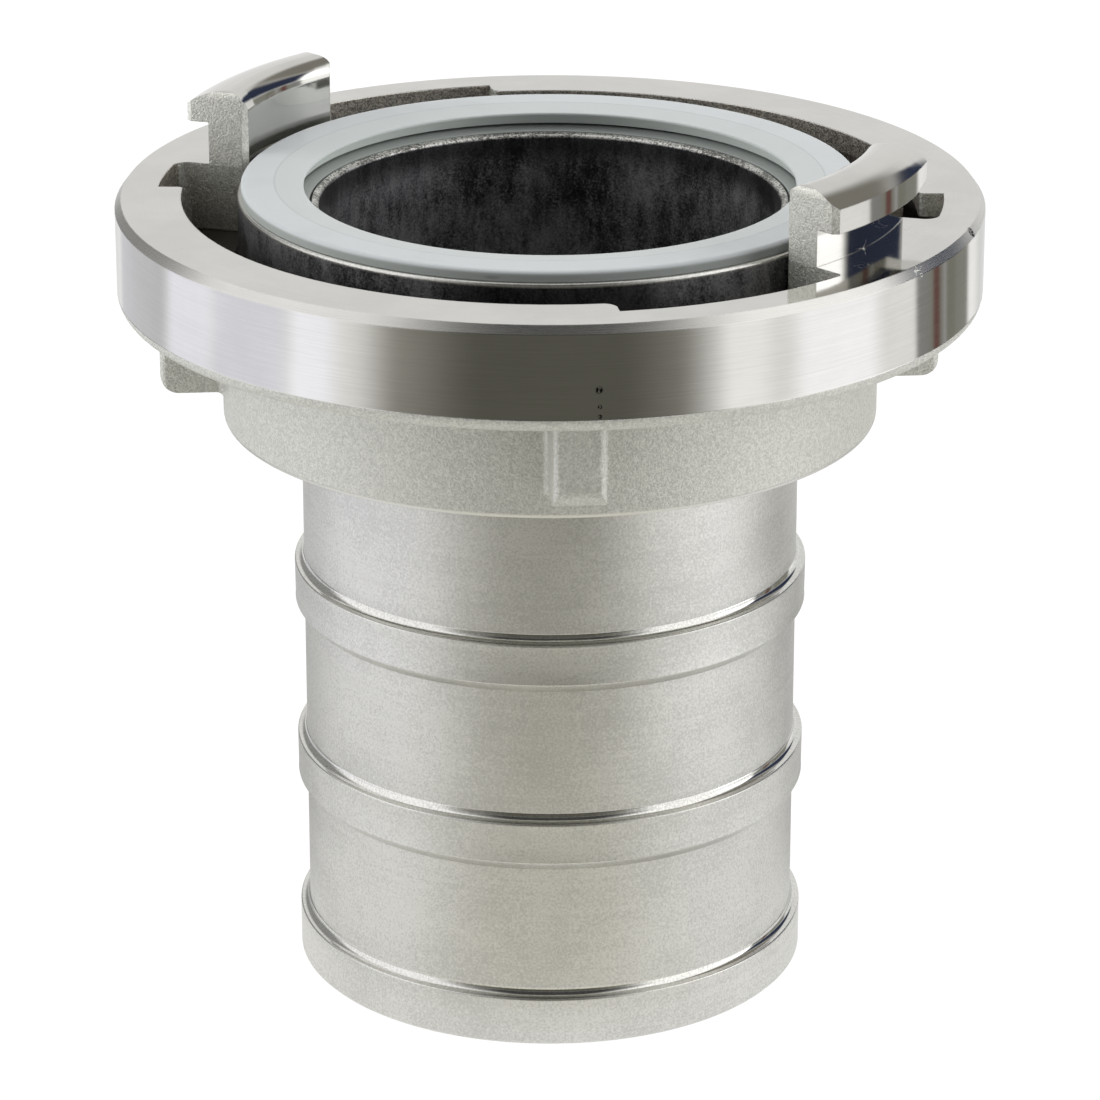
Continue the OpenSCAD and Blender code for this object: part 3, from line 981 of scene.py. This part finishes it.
@dataclass
class HoseTail:
    """The turned hose tail with its head, in place of the plain CAD solid."""

    bore_r: float = 33.5
    shank_r: float = 36.6
    rib_r: float = 38.0
    rib_pitch: float = 27.8
    rib_count: int = 3
    rib_land: float = 6.1
    rib_shoulder: float = 1.2
    rib_slope: float = 1.5
    end_land: float = 7.4
    end_chamfer: float = 0.5
    end_slope: float = 0.8
    bearing_r: float = 38.6
    bearing_end_z: float = 86.75
    head_r: float = 45.3
    head_under_z: float = 106.1
    head_top_z: float = 119.3
    head_edge: float = 0.5
    groove_out_r: float = 43.2
    groove_in_r: float = 34.6
    groove_z: float = 112.9
    inner_edge_z: float = 117.8
    inner_slope: float = 0.275
    wire_groove: Place = (38.9, 90.7, 1.8)
    groove_steps: int = 14
    rib_sunk: float = 0.4
    shoulder_steps: int = 8
    edge_turn: float = 80.0
    edge_steps: int = 4
    core: float = 0.03
    segments: int = 288
    finish: TailFinish = field(default_factory=TailFinish)

    def outline(self) -> Outline:
        """The outline of the tail without its upper ribs."""
        sharp, soft, broken = Corner.SHARP.value, Corner.SOFT.value, Corner.BROKEN.value
        groove_r, groove_z, groove_w = self.wire_groove
        made = Outline()
        made.corners(
            [
                (self.bore_r + self.end_slope, 0.0, broken),
                (self.rib_r - self.end_chamfer, 0.0, broken),
                (self.rib_r, self.end_chamfer, broken),
                (self.shank_r, self.bearing_end_z - self.bearing_r + self.shank_r, soft),
                (self.bearing_r, self.bearing_end_z, broken),
                (self.bearing_r, self.head_under_z, sharp),
                (self.head_r, self.head_under_z, broken),
                (self.head_r, self.head_top_z, self.head_edge),
                (self.groove_out_r, self.head_top_z, broken),
                (self.groove_out_r, self.groove_z, sharp),
                (self.groove_in_r, self.groove_z, sharp),
                (self.groove_in_r, self.inner_edge_z, broken),
                (self.bore_r, self.inner_edge_z - self.inner_slope, Corner.ROUND.value),
                (self.bore_r, self.end_slope, broken),
            ]
        )
        # The shoulder above the land at the open end, before the plain length
        top = next(i for i, (r, z) in enumerate(made.points) if z > self.end_land)
        made.points[top:top] = self.shoulder(self.end_land)
        # The round groove of the snap ring, between the bearing's end and the head
        half = math.degrees(math.acos((self.bearing_r - groove_r) / groove_w))
        cut = Outline().arc(groove_r, groove_z, groove_w, 360.0 - half, half, self.groove_steps)
        at = next(i for i, (r, z) in enumerate(made.points) if z > groove_z + groove_w and r > self.shank_r)
        made.points[at:at] = cut.points
        return made

    def rib_outline(self) -> Outline:
        """The outline of one rib, with its land's top at height zero and its foot sunk in the shank."""
        sharp, sunk = Corner.SHARP.value, self.shank_r - self.rib_sunk
        made = Outline().corners(
            [
                (sunk, self.rib_shoulder, sharp),
                (sunk, -self.rib_land - self.rib_slope, sharp),
                (self.shank_r, -self.rib_land - self.rib_slope, sharp),
                (self.rib_r, -self.rib_land, Corner.SOFT.value),
            ]
        )
        made.points += self.shoulder(0.0)
        return made

    def shoulder(self, land_z: float) -> list[Point]:
        """The hollow shoulder above a land, from the land's edge up to the shank.

        Args:
            land_z: Height of the land's upper edge.

        Returns:
            Its points.
        """
        edge = Corner.SOFT.value
        rounded = Outline().arc(
            self.rib_r - edge, land_z - edge, edge, 0.0, self.edge_turn, self.edge_steps
        )
        stand = self.rib_r - edge - self.shank_r
        hollow = []
        for step in range(1, self.shoulder_steps + 1):
            angle = math.pi / 2 * step / self.shoulder_steps
            r = self.shank_r + stand * (1.0 - math.sin(angle))
            hollow.append((r, land_z + self.rib_shoulder * (1.0 - math.cos(angle))))
        return [(self.rib_r, land_z - edge - rounded.support), *rounded.points, *hollow]

    def build(self) -> None:
        """Builds the tail and lets it stand for its CAD node."""
        rib = self.rib_outline().curve("rib_outline", self.core)
        values = {
            "Segments": self.segments,
            "Core radius": self.core,
            "Rib outline": rib,
            "Rib count": self.rib_count - 1,
            "First rib": (0.0, 0.0, (self.end_land + self.rib_pitch) * MM),
            "Rib pitch": (0.0, 0.0, self.rib_pitch * MM),
            "Material": self.finish.build(),
        }
        piece = ribbed_tree().apply(self.outline().curve("tail_outline", self.core), values, "hose_tail")
        bpy.data.objects.remove(rib)
        check_outward(piece)
        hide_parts("tail_piece")
        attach(piece, "tail")


@dataclass
class LipSeal:
    """The moulded lip seal, in place of the plain CAD solid."""

    in_r: float = 34.9
    out_r: float = 42.9
    foot_z: float = 113.2
    head_top_z: float = 119.3
    flange_r: float = 44.8
    top_z: float = 120.95
    flange_round: float = 0.8
    fall_r: float = 39.9
    edge_r: float = 35.5
    edge_z: float = 120.4
    mouth_r: float = 36.8
    mouth_z: float = 118.15
    mouth_gap: float = 0.4
    slot_r: float = 40.0
    inner_edge_z: float = 117.8
    core: float = 0.03
    segments: int = 288
    finish: RubberFinish = field(default_factory=RubberFinish)

    def outline(self) -> Outline:
        """The outline of the seal with its lip groove."""
        broken = Corner.BROKEN.value
        under_z = self.mouth_z + self.mouth_gap
        fall = (self.mouth_r - self.edge_r) / (self.edge_z - self.mouth_z - self.mouth_gap / 2)
        under_r = self.edge_r + fall * (self.edge_z - under_z)
        return Outline().corners(
            [
                (self.in_r, self.foot_z, broken),
                (self.out_r, self.foot_z, broken),
                (self.out_r, self.head_top_z, Corner.SHARP.value),
                (self.flange_r, self.head_top_z, broken),
                (self.flange_r, self.top_z, self.flange_round),
                (self.fall_r, self.top_z, Corner.ROUND.value),
                (self.edge_r, self.edge_z, Corner.SOFT.value),
                (under_r, under_z, broken),
                (self.slot_r, under_z, broken),
                (self.slot_r, self.mouth_z, broken),
                (self.mouth_r, self.mouth_z, broken),
                (self.in_r, self.inner_edge_z, broken),
            ]
        )

    def build(self) -> None:
        """Builds the seal and lets it stand for its CAD node."""
        values = {"Segments": self.segments, "Core radius": self.core, "Material": self.finish.build()}
        piece = turning_tree().apply(self.outline().curve("seal_outline", self.core), values, "lip_seal")
        check_outward(piece)
        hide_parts("seal")
        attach(piece, "tail")


@dataclass
class ForgedParts:
    """The CAD nodes whose shape is right, which only get their finish."""

    ring: RingFinish = field(default_factory=RingFinish)
    wire: WireFinish = field(default_factory=WireFinish)

    def build(self) -> None:
        """Dresses the claw ring and the snap ring."""
        self.dress(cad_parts["claw_ring"], self.ring.build())
        self.dress(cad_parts["snap_ring"], self.wire.build())

    @staticmethod
    def dress(node: bpy.types.Object, material: bpy.types.Material) -> None:
        """Gives a CAD node its material.

        Args:
            node: The node's object.
            material: The finished material.
        """
        node.data.materials.clear()
        node.data.materials.append(material)
        LOG.info("%s wears %s", node.name, material.name)


@dataclass(frozen=True)
class Board:
    """One lit or dark board of the studio, in degrees as the coupling sees it.

    Directions run from the front towards the right, elevations from the horizon up.
    """

    name: str
    start: float
    end: float
    low: float
    high: float
    level: float
    soft: float = 8.0
    fade: float = 6.0
    tint: Colour = (1.0, 1.0, 1.0)


# Boards are laid over one another in this order
BOARDS = (
    Board("table", -200.0, 200.0, -95.0, -28.0, 0.90, fade=10.0),
    Board("floor_sheet", -200.0, 200.0, -28.0, -6.0, 1.10),
    Board("back_left_floor", -200.0, -150.0, -28.0, -6.0, 0.82, soft=14.0),
    Board("back_right_floor", 144.0, 200.0, -28.0, -6.0, 0.78, soft=12.0),
    Board("side_left", -108.0, -50.0, -6.0, 62.0, 1.25, soft=12.0, tint=(1.0, 1.0, 1.02)),
    Board("side_right", 46.0, 106.0, -6.0, 62.0, 1.45, soft=12.0),
    Board("softbox_right", 82.0, 104.0, 8.0, 27.0, 2.60, soft=4.0, fade=4.0, tint=(0.97, 0.985, 1.04)),
    Board("strip_left", -66.0, -53.0, -28.0, -6.0, 1.35, tint=(0.99, 1.0, 1.09)),
    Board("sheet_left", -92.0, -67.0, -28.0, -6.0, 1.06, soft=6.0, tint=(0.99, 1.0, 1.11)),
    Board("sheet_far_left", -112.0, -92.0, -28.0, -6.0, 1.20, soft=6.0, tint=(0.99, 1.0, 1.11)),
    Board("grey_left", -148.0, -112.0, -28.0, -6.0, 0.76, tint=(0.99, 1.0, 1.06)),
    Board("flag_left", -158.0, -112.0, -6.0, 34.0, 0.34, soft=14.0),
    Board("strip_right", 42.0, 54.0, -28.0, -6.0, 1.26, soft=6.0),
    Board("key_right", 62.0, 88.0, -28.0, -6.0, 1.42, tint=(1.0, 1.0, 1.05)),
    Board("flag_right", 104.0, 135.0, -28.0, 8.0, 0.29, soft=4.0, tint=(1.0, 1.0, 0.9)),
    Board("edge_right", 104.0, 109.0, -28.0, 8.0, 0.30, soft=2.0),
    Board("red_right", 112.0, 115.5, -28.0, 8.0, 0.10, soft=2.0, tint=(1.7, 0.85, 0.75)),
    Board("gap_right", 117.5, 119.5, -28.0, 8.0, 0.42, soft=1.5),
    Board("olive_right", 119.5, 125.0, -28.0, 8.0, 0.25, soft=2.0, tint=(1.0, 1.0, 0.86)),
    Board("blue_right", 106.0, 148.0, 10.0, 29.0, 0.055, soft=4.0, tint=(0.68, 0.87, 1.6)),
    Board("canopy_right", 106.0, 154.0, 29.0, 60.0, 0.28, soft=16.0, fade=12.0, tint=(1.0, 0.95, 0.86)),
    Board("table_front", -38.0, 38.0, -95.0, -28.0, 0.80, soft=50.0, fade=10.0, tint=(1.0, 0.985, 0.88)),
    Board("table_left", -166.0, -112.0, -95.0, -28.0, 0.48, soft=30.0, fade=10.0),
    Board("table_right", 112.0, 166.0, -95.0, -28.0, 0.56, soft=30.0, fade=10.0),
    Board("front_wide", -43.0, 37.0, -28.0, 22.0, 0.40, soft=16.0, tint=(1.0, 0.985, 0.9)),
    Board("front_low", -30.0, 30.0, -28.0, 22.0, 0.125, soft=30.0, tint=(1.0, 0.98, 0.82)),
    Board("front_high", -40.0, 44.0, 22.0, 76.0, 0.07, soft=34.0, fade=10.0),
)


@dataclass(frozen=True)
class Lamp:
    """One soft rectangular lamp: its place and size in metres and its power in watts."""

    name: str
    place: Place
    size: tuple[float, float]
    power: float


LAMPS = (
    Lamp("lamp_left", (-1.1, 0.0, 0.45), (0.7, 0.7), 12.0),
    Lamp("lamp_right", (1.1, 0.0, 0.45), (0.7, 0.7), 12.0),
    Lamp("lamp_top", (0.0, 0.3, 1.4), (1.4, 1.0), 9.0),
)


@dataclass
class Studio:
    """Floor, background, soft lamps, the curtain that metal mirrors, and the camera, in metres."""

    camera: Place = (0.0, -0.69165, 0.32785)
    pitch: float = 69.054
    lens: float = 162.635
    sensor: float = 36.0
    clip: Point = (0.05, 20.0)
    aim: Place = (0.0, 0.0, 0.08)
    white: Colour = (1.0, 1.0, 1.0)
    world_light: float = 0.36
    floor_pale: Colour = (0.9, 0.9, 0.9)
    floor_glow: float = 1.05
    floor_cover: float = 0.93
    floor_half: float = 3.0
    floor_z: float = -0.0002
    curtain_inner: float = 0.05
    curtain_outer: float = 1.3
    curtain_top: float = 2.4
    curtain_core: float = 0.03
    curtain_segments: int = 96
    eye_z: float = 0.11
    back_level: float = 0.91
    strongest: float = 2.6

    def build(self) -> None:
        """Builds everything that isn't part of the object."""
        self.make_world()
        self.make_floor()
        self.make_curtain()
        self.make_lamps()
        self.make_camera()

    @staticmethod
    def seen(g: Graph) -> Value:
        """Where the background shows as plain white: to the camera, in gloss and through glass."""
        path = g.node("ShaderNodeLightPath", {}, {})
        rays = Value(g, path.outputs["Is Camera Ray"]).most(Value(g, path.outputs["Is Glossy Ray"]))
        return rays.most(Value(g, path.outputs["Is Transmission Ray"]))

    def make_world(self) -> None:
        """White background, and softer light on the object."""
        world = bpy.data.worlds.new("studio")
        bpy.context.scene.world = world
        world.use_nodes = True
        g = Graph(world.node_tree)
        strength = self.world_light + (1.0 - self.world_light) * self.seen(g)
        background = g.node("ShaderNodeBackground", {}, {"Color": self.white, "Strength": strength})
        g.node("ShaderNodeOutputWorld", {}, {"Surface": background.outputs[0]})

    def make_floor(self) -> None:
        """A plain pale floor, white to the camera apart from the object's faint shadow."""
        material, g = new_material("pale_floor")
        pale = g.node("ShaderNodeBsdfDiffuse", {}, {"Color": self.floor_pale})
        glow = g.node("ShaderNodeEmission", {}, {"Color": self.white, "Strength": self.floor_glow})
        shaders = {"0": self.seen(g) * self.floor_cover, "1": pale.outputs[0], "2": glow.outputs[0]}
        mixed = g.node("ShaderNodeMixShader", {}, shaders)
        g.node("ShaderNodeOutputMaterial", {}, {"Surface": mixed.outputs[0]})
        corners = [
            (x * self.floor_half, y * self.floor_half, self.floor_z)
            for x, y in ((-1.0, -1.0), (1.0, -1.0), (1.0, 1.0), (-1.0, 1.0))
        ]
        mesh = bpy.data.meshes.new("floor")
        mesh.from_pydata(corners, [], [(0, 1, 2, 3)])
        mesh.materials.append(material)
        floor = placed("floor", mesh)

    def make_curtain(self) -> None:
        """The boards round the coupling, seen only in gloss. They give metal its light and dark bands."""
        material, g = new_material("studio_boards")
        x, y, z = g.parts(g.coordinate(Space.OBJECT))
        to_degrees = 180.0 / math.pi
        direction = g.math("ARCTAN2", x, y * -1.0) * to_degrees
        away = g.math("SQRT", x * x + y * y)
        elevation = g.math("ARCTAN2", z - self.eye_z, away) * to_degrees
        colour: Any = (self.back_level / self.strongest,) * 3
        rows = {(board.low, board.high, board.fade) for board in BOARDS}
        heights = {row: elevation.band(*row) for row in sorted(rows)}
        for board in BOARDS:
            mask = direction.band(board.start, board.end, board.soft)
            mask = mask * heights[board.low, board.high, board.fade]
            colour = g.blend(mask, colour, scaled(board.tint, board.level / self.strongest))
            LOG.info("board %s", board.name)
        glow = g.node("ShaderNodeEmission", {}, {"Color": colour, "Strength": self.strongest})
        g.node("ShaderNodeOutputMaterial", {}, {"Surface": glow.outputs[0]})
        outline = Outline(
            points=[
                (self.curtain_inner / MM, 0.0),
                (self.curtain_outer / MM, 0.0),
                (self.curtain_outer / MM, self.curtain_top / MM),
                (self.curtain_inner / MM, self.curtain_top / MM),
            ]
        )
        drawn = outline.curve("curtain_outline", self.curtain_core)
        drawn.data.splines[0].use_cyclic_u = False
        values = {"Segments": self.curtain_segments, "Core radius": self.curtain_core, "Material": material}
        curtain = turning_tree().apply(drawn, values, "curtain")
        curtain.visible_camera = False
        curtain.visible_shadow = False
        curtain.visible_diffuse = False
        curtain.visible_transmission = False

    def make_lamps(self) -> None:
        """Two soft side lamps and one above, all aimed at the coupling and unseen in gloss."""
        for lamp in LAMPS:
            data = bpy.data.lights.new(lamp.name, "AREA")
            data.shape = "RECTANGLE"
            data.size, data.size_y = lamp.size
            data.energy = lamp.power
            made = placed(lamp.name, data)
            made.location = lamp.place
            way = Vector(self.aim) - Vector(lamp.place)
            made.rotation_euler = way.to_track_quat("-Z", "Y").to_euler()
            made.visible_glossy = False

    def make_camera(self) -> None:
        """The camera at the photograph's viewing angle."""
        data = bpy.data.cameras.new("camera")
        data.sensor_width = self.sensor
        data.lens = self.lens
        data.clip_start, data.clip_end = self.clip
        made = placed("camera", data)
        made.location = self.camera
        made.rotation_euler = (math.radians(self.pitch), 0.0, 0.0)
        bpy.context.scene.camera = made


def main() -> None:
    """Builds the sub-assemblies in order, then the studio."""
    logging.basicConfig(level=logging.INFO, format="%(message)s")
    bpy.context.scene.view_settings.view_transform = "Standard"
    HoseTail().build()
    LipSeal().build()
    ForgedParts().build()
    Studio().build()


if __name__ == "__main__":
    main()
